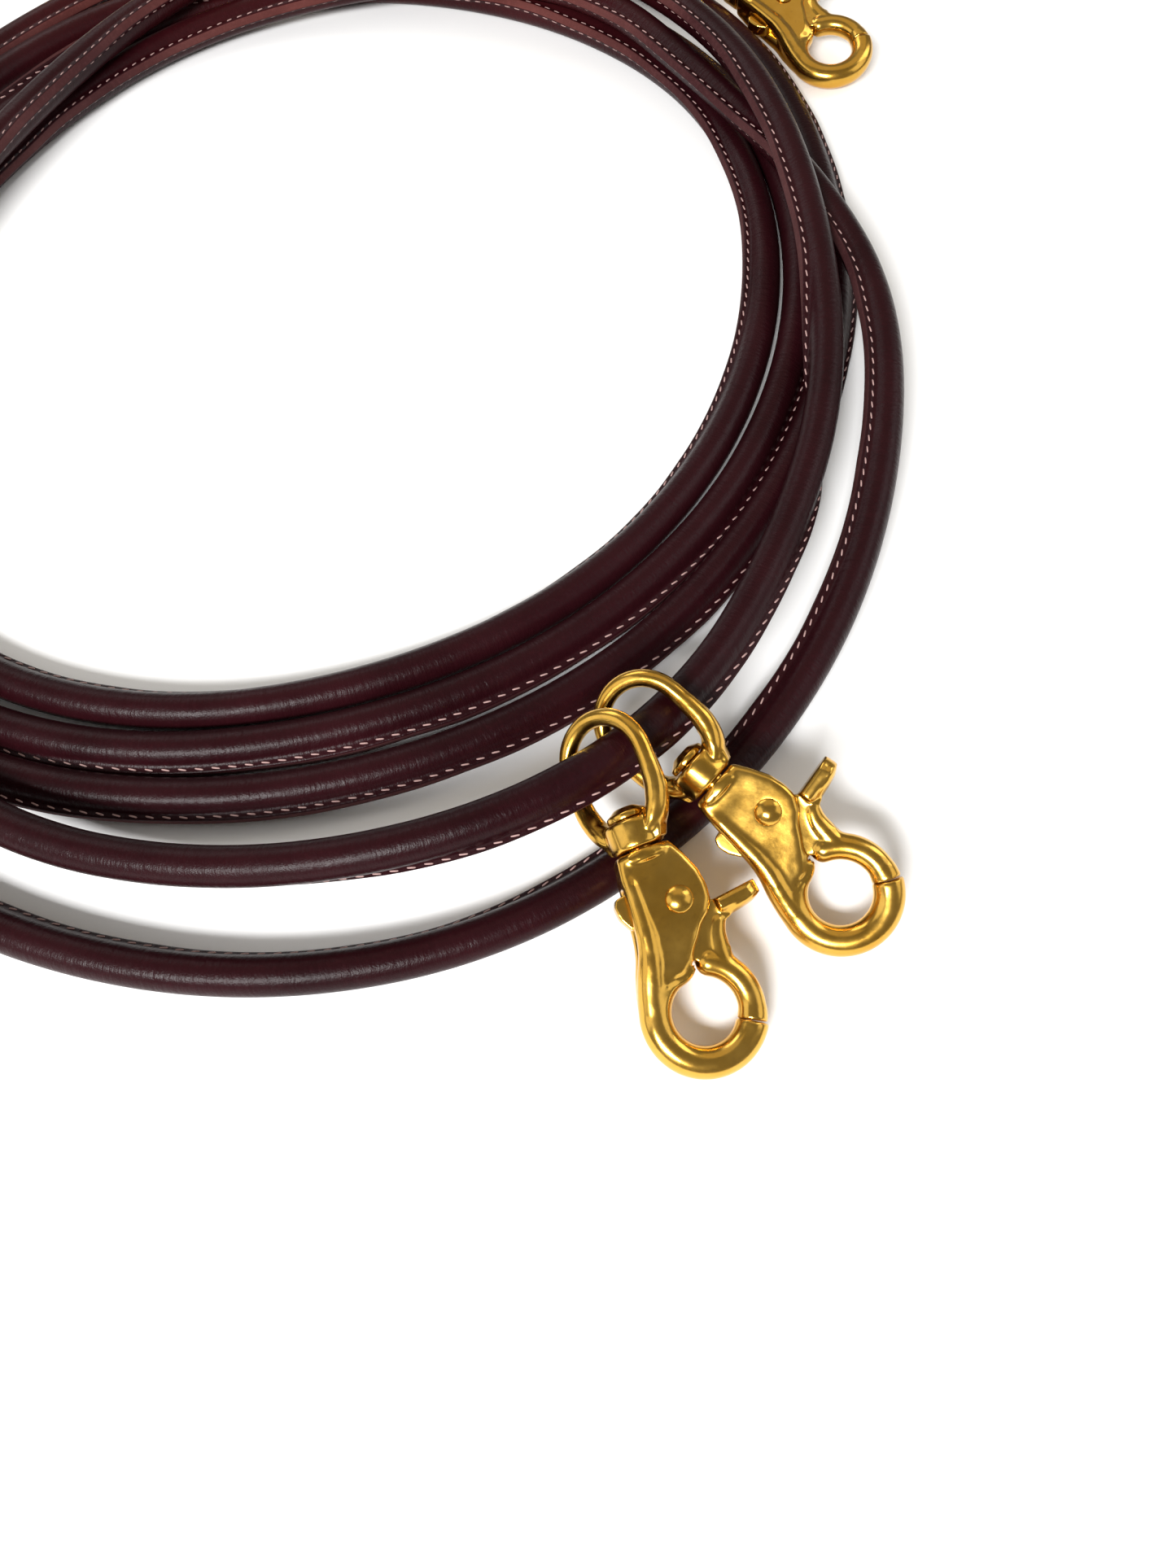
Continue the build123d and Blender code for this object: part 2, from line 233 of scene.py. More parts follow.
def leather_material(name, dark, light, edge=False, run=False):
    m, t, b = material(name)
    co = node(t, "ShaderNodeTexCoord").outputs["Object"]
    big = noise(t, co, 28.0, 3.0)
    fine = noise(t, co, 900.0, 5.0)
    col = mix(t, ramp(t, big, [(0.3, 0.0), (0.75, 1.0)]), dark, light)
    # pull-up: a little paler and redder where the grain stands up
    col = mix(t, ramp(t, fine, [(0.5, 0.0), (0.85, 0.3)]), col, tuple(min(1, c * 1.7) for c in light))
    # paler and redder towards the far side of the coil: the colour is multiplied up where the object's Y rises past
    # about 0.09 to 0.17 m
    sep = node(t, "ShaderNodeSeparateXYZ")
    t.links.new(co, sep.inputs["Vector"])
    far = ramp(t, sep.outputs["Y"], [(0.09, 0.0), (0.17, 1.0)])
    col = mix(t, far, col, mix(t, 1.0, col, (2.3, 1.6, 1.25), "MULTIPLY"))
    t.links.new(col, b.inputs["Base Color"])
    r = ramp(t, noise(t, co, 160.0, 4.0), [(0.25, 0.28 if not edge else 0.6), (0.8, 0.39 if not edge else 0.8)])
    t.links.new(r, b.inputs["Roughness"])
    b.inputs["Specular IOR Level"].default_value = 0.11 if not edge else 0.04
    n0 = None
    if run:
        at = node(t, "ShaderNodeAttribute", attribute_name="run")
        sc = node(t, "ShaderNodeVectorMath", operation="MULTIPLY")
        sc.inputs[1].default_value = (1.0, 0.30, 1.0)
        t.links.new(at.outputs["Vector"], sc.inputs[0])
        w = noise(t, sc.outputs["Vector"], 1300.0, 4.0, 0.6)
        n0 = bump(t, b, w, 0.48, 0.0003)
        w2 = noise(t, sc.outputs["Vector"], 480.0, 3.0, 0.5)
        n0 = bump(t, b, w2, 0.25, 0.0006, n0)
    v = node(t, "ShaderNodeTexVoronoi")
    v.feature = "DISTANCE_TO_EDGE"
    v.inputs["Scale"].default_value = 1600.0
    t.links.new(co, v.inputs["Vector"])
    cells = ramp(t, v.outputs["Distance"], [(0.0, 0.0), (0.25, 1.0)])
    n1 = bump(t, b, cells, 0.10, 0.00015, n0)
    bump(t, b, noise(t, co, 70.0, 2.0), 0.10, 0.0012, n1)
    return m


def brass_material():
    m, t, b = material("cast_brass")
    co = node(t, "ShaderNodeTexCoord").outputs["Object"]
    big = noise(t, co, 90.0, 3.0)
    fine = noise(t, co, 800.0, 6.0, 0.65)
    col = mix(t, ramp(t, big, [(0.3, 0.0), (0.7, 1.0)]), (0.615, 0.335, 0.048), (0.72, 0.43, 0.086))
    col = mix(t, ramp(t, fine, [(0.56, 0.0), (0.75, 0.4)]), col, (0.42, 0.22, 0.05))
    t.links.new(col, b.inputs["Base Color"])
    b.inputs["Metallic"].default_value = 1.0
    r = ramp(t, noise(t, co, 260.0, 5.0, 0.6), [(0.3, 0.15), (0.75, 0.27)])
    t.links.new(r, b.inputs["Roughness"])
    n1 = bump(t, b, fine, 0.11, 0.00014)
    bump(t, b, noise(t, co, 150.0, 2.0), 0.10, 0.0006, n1)
    return m


def plain_fibre(name, c0, c1):
    m, t, b = material(name)
    co = node(t, "ShaderNodeTexCoord").outputs["Object"]
    f = noise(t, co, 2600.0, 3.0)
    t.links.new(mix(t, f, c0, c1), b.inputs["Base Color"])
    b.inputs["Roughness"].default_value = 0.7
    bump(t, b, f, 0.4, 0.0001)
    return m


DARK, PALE = (0.0100, 0.0012, 0.0021), (0.0205, 0.0034, 0.0051)
LEATHER = leather_material("oxblood_leather", DARK, PALE, run=True)
LEATHER_END = leather_material("oxblood_leather_ends", DARK, PALE)
EDGE = leather_material("leather_cut_edge", (0.030, 0.009, 0.010), (0.070, 0.028, 0.028), edge=True)
THREAD = plain_fibre("stitch_thread", (0.26, 0.15, 0.14), (0.46, 0.30, 0.28))
BRASS = brass_material()
steel, st, sb = material("spring_wire")
sb.inputs["Base Color"].default_value = (0.5, 0.5, 0.52, 1)
sb.inputs["Metallic"].default_value = 1.0
sb.inputs["Roughness"].default_value = 0.3
sco = node(st, "ShaderNodeTexCoord").outputs["Object"]
bump(st, sb, noise(st, sco, 1200.0, 3.0), 0.2, 0.0001)


# ---- the line --------------------------------------------------------------------
curve = bpy.data.curves.new("route", "CURVE")
curve.dimensions = "3D"
sp = curve.splines.new("NURBS")
sp.points.add(len(ROUTE) - 1)
for p, c in zip(sp.points, ROUTE):
    p.co = (*c, 1.0)
sp.order_u = 3
sp.use_endpoint_u = True
sp.resolution_u = 24
route_obj = bpy.data.objects.new("route", curve)
coll.objects.link(route_obj)
bpy.context.view_layer.update()
line_mesh = bpy.data.meshes.new_from_object(route_obj)
path = np.array([v.co for v in line_mesh.vertices], float)
bpy.data.objects.remove(route_obj)
bpy.data.meshes.remove(line_mesh)


def resample(p, step):
    d = np.r_[0, np.cumsum(np.linalg.norm(np.diff(p, axis=0), axis=1))]
    n = int(round(d[-1] / step))
    s = np.linspace(0, d[-1], n + 1)
    return np.c_[[np.interp(s, d, p[:, k]) for k in range(3)]].T, s


STEP = 0.0012
Q, S = resample(path, STEP)
for _ in range(2):
    Q[1:-1] = 0.25 * Q[:-2] + 0.5 * Q[1:-1] + 0.25 * Q[2:]
N = len(Q)
TOTAL = S[-1]
T = np.gradient(Q, axis=0)
T /= np.linalg.norm(T, axis=1)[:, None]
OUT = np.cross(T, (0, 0, 1.0))           # right of travel: away from the coil's middle
OUT /= np.linalg.norm(OUT, axis=1)[:, None]
UP = np.cross(OUT, T)

# Where the sewn edge points, round the line: 0 outwards, 90 up, 180 inwards.
WANT = [
    (0.000, 150, 0.2), (0.030, 150, 0.1), (0.070, 165, 0.3), (0.100, 211, 2.0), (0.142, 211, 2.0), (0.160, 165, 1.0),
    (0.200, 150, 1.0), (0.211, 160, 1.0), (0.241, 165, 1.0), (0.260, 165, 0.3), (0.290, 200, 0.2), (0.305, 203, 1.0),
    (0.345, 200, 1.0), (0.362, 172, 1.0), (0.379, 160, 1.0), (0.400, 140, 0.5), (0.420, 100, 0.1), (0.450, 20, 0.1),
    (0.476, -4, 1.0), (0.540, -6, 1.0), (0.570, -8, 0.4), (0.620, -8, 0.1), (0.668, -4, 1.0), (0.725, -6, 1.0),
    (0.745, -10, 0.5), (0.765, -10, 0.5), (0.785, 40, 0.2), (0.800, 140, 1.0), (0.820, 150, 1.0), (0.842, 175, 0.5),
    (0.858, 205, 1.0), (0.868, 240, 1.0), (0.891, 290, 1.0), (0.901, 344, 1.0), (0.914, -6, 1.0), (0.922, -40, 1.0), (0.9265, -90, 0.4),
    (0.932, 195, 0.6), (0.937, 158, 1.0), (0.967, 150, 1.0), (1.000, 150, 0.2)]
wu = np.array([w[0] for w in WANT])
ang = np.unwrap(np.radians([w[1] for w in WANT]))
want = np.interp(S / TOTAL, wu, ang)
weight = np.interp(S / TOTAL, wu, [w[2] for w in WANT])

R_ROLL = 4.33 * MM      # rolled part
FIN = 6.05 * MM         # sewn edge, from the middle
from mathutils.kdtree import KDTree
K = 48
cost = np.zeros((N, K))
angs = np.arange(K) * 2 * math.pi / K
sub = max(1, int(0.0024 / STEP))
kd = KDTree(N // sub + 1)
for i in range(0, N, sub):
    kd.insert(Q[i], i)
kd.balance()
metal = []
for name in ("snap_left_eye", "snap_right_eye", "snap_a_lever", "snap_a_eye", "snap_a_casting", "snap_left_casting", "snap_right_casting"):
    metal += [v.co.copy() for v in nodes[name].data.vertices]
mk = KDTree(len(metal))
for i, v in enumerate(metal):
    mk.insert(v, i)
mk.balance()
coarse = range(0, N, sub)
for i in coarse:
    near = [(c, j) for c, j, d in kd.find_range(Q[i], 0.016) if abs(j - i) * STEP > 0.03]
    nm = [c for c, j, d in mk.find_range(Q[i], 0.009)]
    diff = (angs - want[i] + math.pi) % (2 * math.pi) - math.pi
    cost[i] = (diff / math.radians(10)) ** 2 * weight[i] * 0.35
    tips = Q[i] + (FIN - 0.3 * MM) * (np.cos(angs)[:, None] * OUT[i] + np.sin(angs)[:, None] * UP[i])
    under = 0.03 if 0.855 < S[i] / TOTAL < 0.903 else 1.0      # here the seam passes beneath
    cost[i] += np.maximum(0, 1.1 * MM - tips[:, 2]) ** 2 * 2e7 * under
    for c, j in near:
        c = np.array(c)
        d = np.linalg.norm(tips - c, axis=1)
        cost[i] += np.maximum(0, R_ROLL + 1.15 * MM - d) ** 2 * 1.2e7 / max(1, len(near)) * 3
    if nm:
        a = np.array(nm)
        d = np.linalg.norm(tips[:, None, :] - a[None], axis=2).min(1)
        cost[i] += np.maximum(0, 1.4 * MM - d) ** 2 * 2e7
idx = list(coarse)
best = cost[idx[0]].copy()
back = []
turn_cost = np.array([0.0, 0.25, 1.3])
for i in idx[1:]:
    cand = np.stack([np.roll(best, s) + turn_cost[abs(s)] for s in (-2, -1, 0, 1, 2)])
    k = cand.argmin(0)
    back.append(k)
    best = cand[k, np.arange(K)] + cost[i]
state = int(best.argmin())
steps = [0]
for k in reversed(back):
    s = (-2, -1, 0, 1, 2)[k[state]]
    steps.append(-s)
    state = (state - s) % K
first = angs[state]
steps = steps[::-1]
inc = []
acc = first
seq = []
# steps[j] is minus the turn made arriving at step j + 1
for j in range(len(idx)):
    seq.append(acc)
    if j < len(idx) - 1:
        acc = acc - steps[j] * 2 * math.pi / K
seq = np.array(seq)
for _ in range(10):
    seq[1:-1] = 0.25 * seq[:-2] + 0.5 * seq[1:-1] + 0.25 * seq[2:]
seam = np.interp(np.arange(N), idx, seq)

# Section in the seam's own axes: x towards the sewn edge, y across it, mm.
half = [(6.05, 0.0), (6.05, 0.55), (5.95, 1.0), (5.70, 1.28), (5.25, 1.34), (4.75, 1.38), (4.25, 1.60), (3.88, 1.98)]
a0 = math.atan2(2.36, 3.63)
half += [(4.33 * math.cos(a), 4.33 * math.sin(a)) for a in np.linspace(a0, math.pi, 13)]
prof = np.array(half + [(x, -y) for x, y in half[-2:0:-1]]) * MM
M = len(prof)
rng = np.random.default_rng(5)


def wander(n, scale, seed):
    r = np.random.default_rng(seed)
    k = max(4, int(n / scale))
    return np.interp(np.linspace(0, k - 1, n), np.arange(k), r.standard_normal(k))


slack = 1 + 0.006 * wander(N, 30, 1)             # the roll is a little uneven
fin_l = 0.12 * MM * wander(N, 9, 2)
ends = np.clip(np.minimum(S, TOTAL - S) / 0.004, 0, 1)
verts = np.zeros((N, M, 3))
for k in range(M):
    x, y = prof[k]
    rr = math.hypot(x, y)
    fin = max(0.0, (x - 3.9 * MM)) / (2.15 * MM)
    xs = x * (slack if fin == 0 else 1.0) + fin * fin_l
    ys = y * (slack if fin == 0 else 1.0)
    d = np.cos(seam)[:, None] * OUT + np.sin(seam)[:, None] * UP
    e = -np.sin(seam)[:, None] * OUT + np.cos(seam)[:, None] * UP
    verts[:, k] = Q + (xs * np.ones(N))[:, None] * d + (ys * np.ones(N))[:, None] * e
verts[:, :, 2] = np.maximum(verts[:, :, 2], 0.05 * MM)
V = verts.reshape(-1, 3).tolist()
faces = []
mats = []
edge_ks = {0, 1, 2, M - 1, M - 2, M - 3}
for i in range(N - 1):
    for k in range(M):
        k2 = (k + 1) % M
        faces.append((i * M + k, (i + 1) * M + k, (i + 1) * M + k2, i * M + k2))
        mats.append(1 if (k in (0, 1, M - 1, M - 2)) else 0)
faces.append(tuple(range(M)))
mats.append(0)
faces.append(tuple(reversed(range((N - 1) * M, N * M))))
mats.append(0)

# stitches: short raised dashes along both faces of the sewn edge
PITCH, DASH, WIDE = 3.5 * MM, 1.75 * MM, 0.24 * MM
ring = [(-0.5, 0.25), (-0.38, 0.85), (0.0, 1.0), (0.38, 0.85), (0.5, 0.25)]
count = int((TOTAL - 0.03) / PITCH)
for c in range(count):
    s0 = 0.015 + c * PITCH
    for side in (1, -1):
        gi = min(N - 1, int(s0 / TOTAL * (N - 1)))
        if Q[gi][2] + 5.4 * MM * math.sin(seam[gi]) - 1.6 * MM < 0.1 * MM and math.sin(seam[gi]) < -0.5:
            continue
        base = len(V)
        tilt = 0.34 * MM
        for f, w in ring:
            s = s0 + f * DASH
            g = s / TOTAL * (N - 1)
            i = min(N - 2, int(g))
            u = g - i
            q = Q[i] * (1 - u) + Q[i + 1] * u
            a = seam[i] * (1 - u) + seam[i + 1] * u
            o = OUT[i] * (1 - u) + OUT[i + 1] * u
            z = UP[i] * (1 - u) + UP[i + 1] * u
            d = math.cos(a) * o + math.sin(a) * z
            e = -math.sin(a) * o + math.cos(a) * z
            x = 5.02 * MM + f * tilt
            for px, py in ((-WIDE, -0.08 * MM), (-WIDE * 0.6, 0.20 * MM * w), (WIDE * 0.6, 0.20 * MM * w), (WIDE, -0.08 * MM)):
                V.append(tuple(q + (x + px * (0.4 + 0.6 * w)) * d + side * (1.34 * MM + py) * e))
        n = len(ring)
        for r in range(n - 1):
            for k in range(4):
                k2 = (k + 1) % 4
                fc = (base + r * 4 + k, base + (r + 1) * 4 + k, base + (r + 1) * 4 + k2, base + r * 4 + k2)
                faces.append(fc if side > 0 else fc[::-1])
                mats.append(2)
        for r, flip in ((0, False), (n - 1, True)):
            fc = tuple(base + r * 4 + k for k in range(4))
            faces.append(fc[::-1] if flip != (side < 0) else fc)
            mats.append(2)


def mesh_object(name, verts, faces, materials, mats=None, smooth=True):
    me = bpy.data.meshes.new(name)
    me.from_pydata([tuple(map(float, v)) for v in verts], [], faces)
    for m in materials:
        me.materials.append(m)
    if mats is not None:
        me.polygons.foreach_set("material_index", mats)
    me.polygons.foreach_set("use_smooth", [smooth] * len(me.polygons))
    me.update()
    o = bpy.data.objects.new(name, me)
    coll.objects.link(o)
    return o


line = mesh_object("leather_line", V, faces, [LEATHER, EDGE, THREAD], mats)
bm = bmesh.new()
bm.from_mesh(line.data)
bmesh.ops.recalc_face_normals(bm, faces=bm.faces)
bm.to_mesh(line.data)
bm.free()
run = np.zeros((len(line.data.vertices), 3), np.float32)
girth = np.r_[0, np.cumsum(np.linalg.norm(np.diff(prof, axis=0), axis=1))]
girth = np.minimum(girth, girth[-1] - girth + 0.002)
run[:N * M, 0] = np.repeat(S, M)
run[:N * M, 1] = np.tile(girth, N)
att = line.data.attributes.new("run", "FLOAT_VECTOR", "POINT")
att.data.foreach_set("vector", run.ravel())
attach(line, "leash")
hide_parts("line")


# ---- snaps -------------------------------------------------------------------------
def snap_matrix(name):
    neck, heading, slope, roll, turn = SNAPS[name]
    h, s, r = (math.radians(v) for v in (heading, slope, roll))
    x = Vector((math.cos(h) * math.cos(s), math.sin(h) * math.cos(s), -math.sin(s)))
    y0 = Vector((-math.sin(h), math.cos(h), 0))
    z0 = x.cross(y0)
    y = y0 * math.cos(r) + z0 * math.sin(r)
    z = x.cross(y)
    m = Matrix((x, y, z)).transposed().to_4x4()
    m.translation = Vector(neck) * MM
    return m


def tube(points, radius, segs=16, across=None):
    """Closed tube through points (mm, snap axes); across is its half thickness along Z where it isn't round."""
    p = np.array(points, float)
    rad = np.array(radius if hasattr(radius, "__len__") else [radius] * len(p), float)
    t = np.gradient(p, axis=0)
    t /= np.linalg.norm(t, axis=1)[:, None]
    ref = np.array((0, 0, 1.0)) if abs(t[0][2]) < 0.9 else np.array((1.0, 0, 0))
    vs, fs = [], []
    for i in range(len(p)):
        a = np.cross(t[i], ref)
        a /= np.linalg.norm(a)
        b = np.cross(t[i], a)
        for k in range(segs):
            w = 2 * math.pi * k / segs
            rz = rad[i] if across is None else across[i]
            vs.append(p[i] + rad[i] * math.cos(w) * a + rz * math.sin(w) * b)
    for i in range(len(p) - 1):
        for k in range(segs):
            k2 = (k + 1) % segs
            fs.append((i * segs + k, (i + 1) * segs + k, (i + 1) * segs + k2, i * segs + k2))
    fs.append(tuple(range(segs)))
    fs.append(tuple(reversed(range((len(p) - 1) * segs, len(p) * segs))))
    return [tuple(v * MM) for v in vs], fs


def spline(points, n):
    p = np.array(points, float)
    d = np.r_[0, np.cumsum(np.linalg.norm(np.diff(p, axis=0), axis=1))]
    s = np.linspace(0, d[-1], n)
    q = np.c_[[np.interp(s, d, p[:, k]) for k in range(p.shape[1])]].T
    for _ in range(max(2, n // 8)):
        q[1:-1] = 0.25 * q[:-2] + 0.5 * q[1:-1] + 0.25 * q[2:]
    return q


def cast(name, source, extras, voxel, rounds, factor=0.5, taper=False):
    """Local-axes mesh: the CAD solid and extras fused and softened like a cast piece."""
    inv = snap_matrix("snap_b").inverted()
    if source.endswith("_eye"):
        inv = Matrix.Rotation(-math.radians(SNAPS["snap_b"][4]), 4, "X") @ inv
    me = nodes[source].data.copy()
    me.transform(inv)
    bm = bmesh.new()
    bm.from_mesh(me)
    bmesh.ops.remove_doubles(bm, verts=bm.verts, dist=1e-6)
    if taper:
        # cheeks thin out towards the hook and crown a little between
        for v in bm.verts:
            x, y = v.co.x / MM, v.co.y / MM
            if x < 27 and abs(v.co.z) > 2.2 * MM:
                v.co.z *= float(np.interp(x, [0, 4, 15, 22, 27], [0.92, 1.0, 1.0, 0.88, 0.72]))
    for vs, fs in extras:
        vv = [bm.verts.new(v) for v in vs]
        for f in fs:
            try:
                bm.faces.new([vv[k] for k in f])
            except ValueError:
                pass
    bmesh.ops.recalc_face_normals(bm, faces=bm.faces)
    bm.to_mesh(me)
    bm.free()
    o = bpy.data.objects.new("tmp", me)
    coll.objects.link(o)
    r = o.modifiers.new("r", "REMESH")
    r.mode = "VOXEL"
    r.voxel_size = voxel * MM
    sm = o.modifiers.new("s", "SMOOTH")
    sm.factor = factor
    sm.iterations = rounds
    bpy.context.view_layer.update()
    out = bpy.data.meshes.new_from_object(o.evaluated_get(bpy.context.evaluated_depsgraph_get()))
    bpy.data.objects.remove(o)
    out.name = name
    out.materials.clear()
    out.materials.append(BRASS)
    out.polygons.foreach_set("use_smooth", [True] * len(out.polygons))
    return out


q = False
GATE = 59.0
vx = 0.34 if not q else 0.6


def arc(a0, a1, n, r=9.8):
    return [(34.2 + r * math.cos(math.radians(a)), r * math.sin(math.radians(a)), 0) for a in np.linspace(a0, a1, n)]


# raised rail down the back edge of each cheek, running out into the hook
bead = spline([(2.6, -4.2), (5, -4.9), (11, -5.2), (16.5, -5.6), (20.5, -6.3), (24.5, -7.8), (28.2, -8.9), (32.5, -9.8)], 44)
extras = []
for s in (1, -1):
    zz = np.interp(bead[:, 0], [1, 6, 16, 22, 27, 32], [2.9, 3.0, 2.9, 2.0, 0.9, 0.1])
    rr = np.interp(bead[:, 0], [2.6, 3.6, 6, 12, 18, 24, 31, 32.5], [0.4, 1.2, 1.8, 2.0, 2.3, 2.8, 3.1, 2.2])
    extras.append(tube(np.c_[bead, s * zz], rr))
    extras.append(tube([(1.5, -5.2, s * 2.8), (1.4, -3.4, s * 3.6), (1.3, 0, s * 3.9), (1.4, 3.2, s * 3.6), (1.5, 5.0, s * 2.8)],
                       [0.8, 1.35, 1.45, 1.35, 0.8]))
# shoulder of the shank on the opening's side
sh = spline([(14.5, -1.6, 0), (18.5, -1.8, 0), (21.5, -2.5, 0), (24.2, -4.2, 0), (26.2, -6.6, 0), (28.6, -8.6, 0)], 24)
extras.append(tube(sh, np.interp(np.linspace(0, 1, 24), [0, 0.3, 0.75, 1], [1.6, 2.8, 3.1, 2.0]),
                   across=np.interp(np.linspace(0, 1, 24), [0, 0.3, 0.6, 0.85, 1], [3.2, 3.9, 3.6, 3.1, 2.0])))
extras.append(tube(arc(40, GATE - 0.75, 10), np.interp(np.linspace(0, 1, 10), [0, 0.5, 1], [3.0, 3.33, 3.36])))
lev_x = [tube(arc(86, GATE + 0.30, 10, 9.7), np.interp(np.linspace(0, 1, 10), [0, 0.5, 1], [2.6, 2.95, 3.1]))]
tang = spline([(17.2, 9.0, 0), (16.8, 12.0, 0), (16.4, 15.0, 0), (15.8, 17.6, 0), (15.5, 19.0, 0)], 26)
lev_x.append(tube(tang, np.interp(np.linspace(0, 1, 26), [0, 0.3, 0.8, 0.95, 1], [1.9, 1.6, 1.5, 1.15, 0.5]),
                  across=np.interp(np.linspace(0, 1, 26), [0, 0.25, 0.55, 0.8, 0.93, 1], [1.9, 2.6, 3.6, 3.9, 3.2, 1.6]), segs=24))
root = spline([(16.8, 12.4, 0), (17.4, 10.4, 0), (18.8, 8.8, 0), (21.0, 7.7, 0), (24.0, 7.2, 0), (26.7, 7.0, 0), (29.4, 8.4, 0)], 30)
lev_x.append(tube(root, np.interp(np.linspace(0, 1, 30), [0, 0.25, 0.5, 0.9, 1], [0.9, 2.0, 2.5, 2.75, 2.2]),
                  across=np.interp(np.linspace(0, 1, 30), [0, 0.25, 0.9, 1], [1.2, 2.5, 2.75, 2.2])))
casting = cast("casting", "snap_b_casting", extras, vx, 15 if not q else 3, taper=True)
lever = cast("lever", "snap_b_lever", lev_x, vx * 0.85, 11 if not q else 2)
# limbs thickening where they flow into the swivel's collar
eye_x = []
for s in (1, -1):
    limb = spline([(-2.7, s * 3.9, 0), (-4.2, s * 5.9, 0), (-7.2, s * 7.9, 0), (-11.0, s * 9.1, 0), (-15.5, s * 9.4, 0), (-19.5, s * 9.4, 0)], 28)
    eye_x.append(tube(limb, np.interp(np.linspace(0, 1, 28), [0, 0.2, 0.45, 0.8, 1], [1.4, 2.2, 2.35, 2.05, 1.5]),
                      across=np.interp(np.linspace(0, 1, 28), [0, 0.2, 0.45, 0.8, 1], [3.0, 3.3, 2.6, 2.05, 1.5]), segs=20))
    bow = [(-19.3 - 9.4 * math.sin(math.radians(a)), 9.4 * math.cos(math.radians(a)), 0) for a in np.linspace(0, 180, 25)]
    if s > 0:
        full = [(-13.0, 9.4, 0), (-16.0, 9.4, 0)] + bow + [(-16.0, -9.4, 0), (-13.0, -9.4, 0)]
        eye_x.append(tube(full, np.r_[1.5, np.full(len(full) - 2, 1.93), 1.5], segs=20))
eye = cast("eye", "snap_b_eye", eye_x, vx * 0.9, 14 if not q else 2)
post = cast("post", "snap_b_post", [], vx * 0.8, 3)
rivet = cast("rivet", "snap_b_rivet", [], vx * 0.7, 2)

for s, b in (("snap_a", "a"), ("snap_b", "b"), ("snap_left", "left"), ("snap_right", "right")):
    m = snap_matrix(s)
    turn = Matrix.Rotation(math.radians(SNAPS[s][4]), 4, "X")
    for kind, me, body in (("casting", casting, "hook_"), ("lever", lever, "lever_"), ("eye", eye, "eye_"),
                           ("post", post, "hook_"), ("rivet", rivet, "hook_")):
        d = me.copy()
        d.transform(m @ turn if kind == "eye" else m)
        o = bpy.data.objects.new(s + "_" + kind + "_cast", d)
        coll.objects.link(o)
        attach(o, body + b)
        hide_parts(s + "_" + kind)
    sp_ob = nodes[s + "_spring"]
    sp_ob.data.materials.clear()
    sp_ob.data.materials.append(steel)

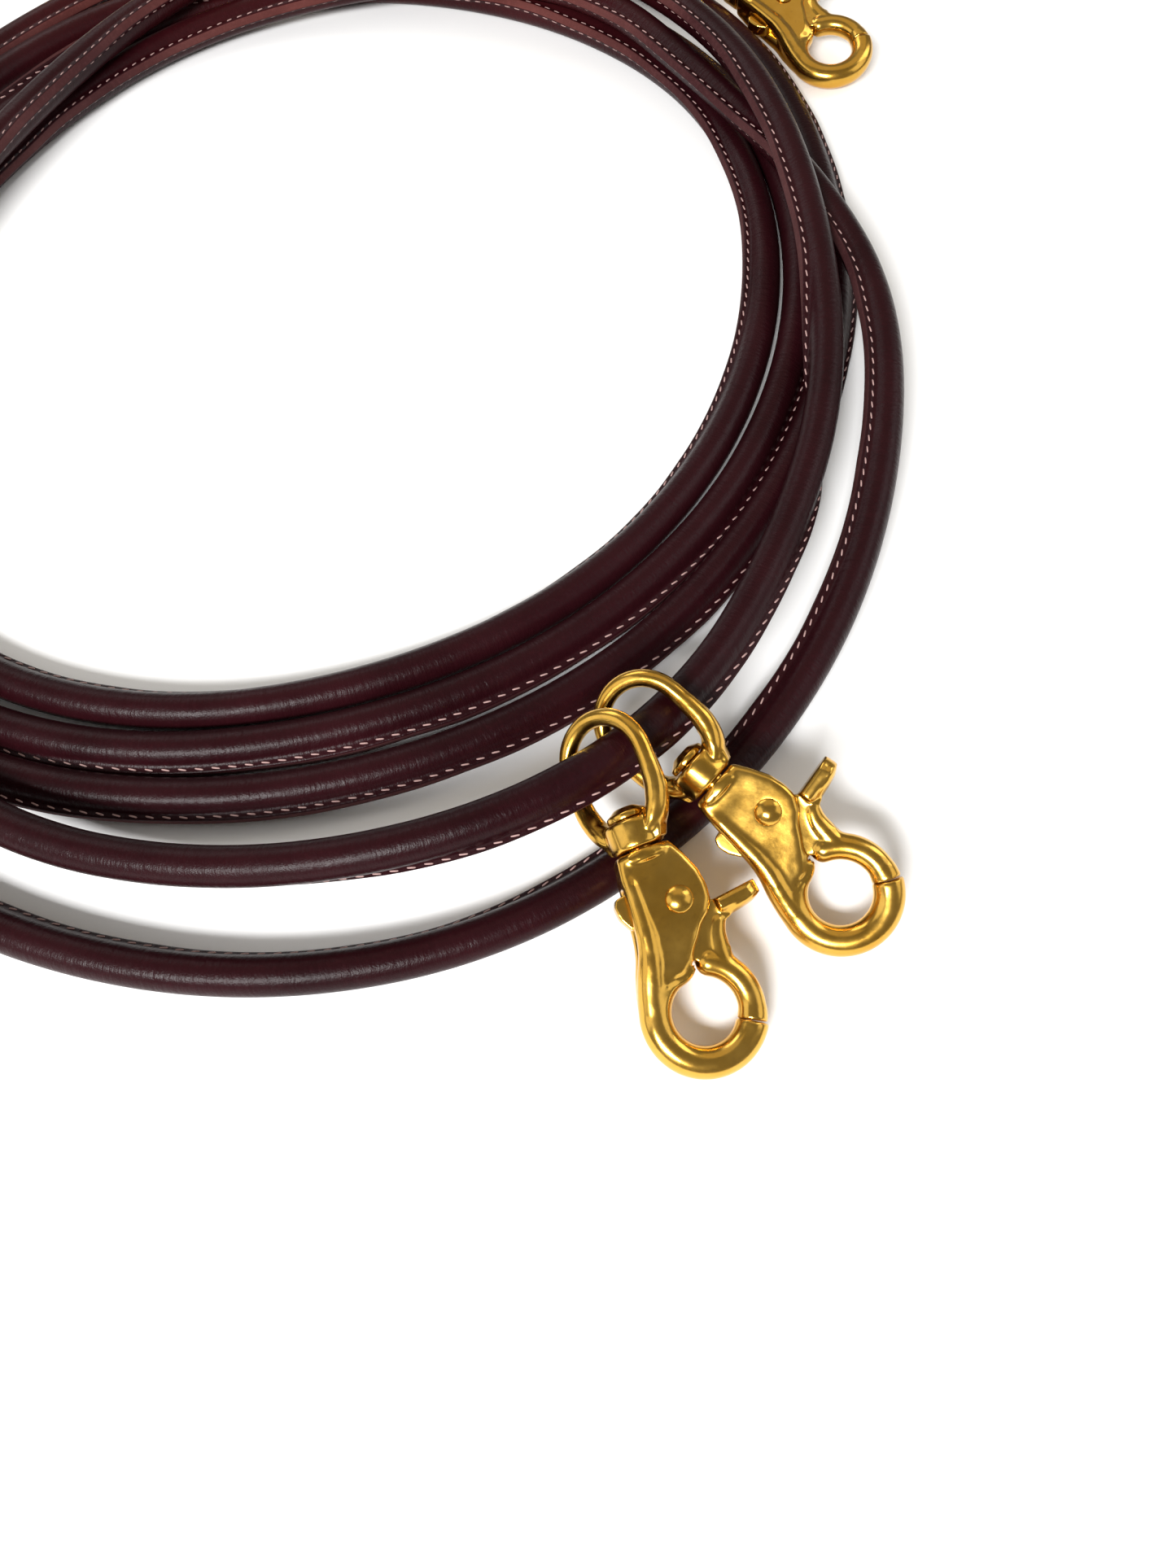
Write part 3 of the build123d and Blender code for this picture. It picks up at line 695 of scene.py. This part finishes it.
# ---- sewn ends: leather loop round the eye and leather wrap over the join --------------
for e, end, s in (("a", 0, "snap_a"), ("b", -1, "snap_b")):
    neck, heading, slope, roll, turn_deg = SNAPS[s]
    m = snap_matrix(s) @ Matrix.Rotation(math.radians(turn_deg), 4, "X")
    m.translation = Vector(ROUTE[0] if e == "a" else ROUTE[-1])
    pieces = []
    me = nodes["end_loop_" + e].data.copy()
    o = bpy.data.objects.new("tmp", me)
    coll.objects.link(o)
    r = o.modifiers.new("r", "REMESH")
    r.mode = "VOXEL"
    r.voxel_size = (0.35 if not q else 0.6) * MM
    sm = o.modifiers.new("s", "SMOOTH")
    sm.factor = 0.5
    sm.iterations = 5
    bpy.context.view_layer.update()
    lm = bpy.data.meshes.new_from_object(o.evaluated_get(bpy.context.evaluated_depsgraph_get()))
    bpy.data.objects.remove(o)
    lm.materials.clear()
    lm.materials.append(LEATHER_END)
    lm.polygons.foreach_set("use_smooth", [True] * len(lm.polygons))
    loop = bpy.data.objects.new("sewn_loop_" + e, lm)
    coll.objects.link(loop)
    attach(loop, "leash")
    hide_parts("end_loop_" + e)
    # wrap: turned sleeve with a swell, an overlapped edge, and two rows of stitches
    vs, fs, ms = [], [], []
    X0, X1, SEG = -12.3, 4.5, 72
    prof_w = [(X0, 4.6), (X0, 5.6), (X0 + 0.5, 6.0), (X0 + 1.4, 6.12), (X0 + 2.6, 6.02), (-6, 6.08), (0, 6.1), (X1 - 2.6, 6.02),
              (X1 - 1.4, 6.12), (X1 - 0.5, 5.98), (X1, 5.5), (X1, 4.6)]
    for x, rad in prof_w:
        for k in range(SEG):
            w = 2 * math.pi * k / SEG
            lap = 0.10 * (k / SEG) if rad > 5 else 0.0
            rr = rad - 0.05 + lap
            vs.append((x, rr * math.cos(w), rr * math.sin(w)))
    for i in range(len(prof_w)):
        i2 = (i + 1) % len(prof_w)
        for k in range(SEG):
            k2 = (k + 1) % SEG
            fs.append((i * SEG + k, i2 * SEG + k, i2 * SEG + k2, i * SEG + k2))
            ms.append(0)
    for xr in (X0 + 2.0, X1 - 2.0):
        for c in range(18):
            base = len(vs)
            for f, wd in ((-0.32, 0.3), (-0.2, 1.0), (0.2, 1.0), (0.32, 0.3)):
                w = 2 * math.pi * (c + f) / 18
                for dx, dr in ((-0.24, 6.0), (-0.14, 6.0 + 0.28 * wd), (0.14, 6.0 + 0.28 * wd), (0.24, 6.0)):
                    vs.append((xr + dx, dr * math.cos(w), dr * math.sin(w)))
            for r_ in range(3):
                for k in range(4):
                    k2 = (k + 1) % 4
                    fs.append((base + r_ * 4 + k, base + (r_ + 1) * 4 + k, base + (r_ + 1) * 4 + k2, base + r_ * 4 + k2))
                    ms.append(1)
            fs.append(tuple(base + k for k in range(4)))
            ms.append(1)
            fs.append(tuple(base + 12 + k for k in (3, 2, 1, 0)))
            ms.append(1)
    wrap = mesh_object("sewn_wrap_" + e, [m @ (Vector(v) * MM) for v in vs], fs, [LEATHER_END, THREAD], ms)
    bm = bmesh.new()
    bm.from_mesh(wrap.data)
    bmesh.ops.recalc_face_normals(bm, faces=bm.faces)
    bm.to_mesh(wrap.data)
    bm.free()
    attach(wrap, "leash")
    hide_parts("end_wrap_" + e)

pts = [tuple(p) for p in Q[:: max(1, int(0.004 / STEP))]]
if tuple(Q[-1]) != pts[-1]:
    pts.append(tuple(Q[-1]))

# ---- floor and light ------------------------------------------------------------------
fl, ft, fb = material("floor")
fb.inputs["Base Color"].default_value = (0.93, 0.93, 0.93, 1)
fb.inputs["Roughness"].default_value = 0.8
floor = mesh_object("floor", [(-4, -4, 0), (4, -4, 0), (4, 4, 0), (-4, 4, 0)], [(0, 1, 2, 3)], [fl], smooth=False)

world = bpy.data.worlds.new("studio")
bpy.context.scene.world = world
world.use_nodes = True
bg = world.node_tree.nodes["Background"]
bg.inputs["Color"].default_value = (1.0, 0.94, 0.85, 1)
bg.inputs["Strength"].default_value = 0.25


def area(name, loc, target, size, size_y, energy, color=(1, 1, 1)):
    l = bpy.data.lights.new(name, "AREA")
    l.shape = "RECTANGLE"
    l.size = size
    l.size_y = size_y
    l.energy = energy
    l.color = color
    o = bpy.data.objects.new(name, l)
    coll.objects.link(o)
    o.location = loc
    d = Vector(target) - Vector(loc)
    o.rotation_euler = d.to_track_quat("-Z", "Y").to_euler()
    return o


area("key", (-0.35, -1.15, 0.95), (0, 0, 0), 0.62, 0.30, 38)
area("side", (1.1, 0.5, 0.9), (0, 0, 0), 0.5, 0.9, 3.5)
area("back", (-0.7, 1.0, 0.9), (0, 0, 0), 0.9, 0.5, 3.5)
area("ceiling", (0.0, 0.75, 1.5), (0, 0, 0), 1.6, 1.2, 2.4, (1.0, 0.86, 0.62))
area("wall_left", (-1.25, -0.35, 0.75), (0, 0, 0), 1.0, 1.1, 3.4)
area("wall_right", (1.3, -0.2, 0.8), (0, 0, 0), 0.9, 0.9, 2.4)
bpy.context.scene.view_settings.view_transform = "Standard"
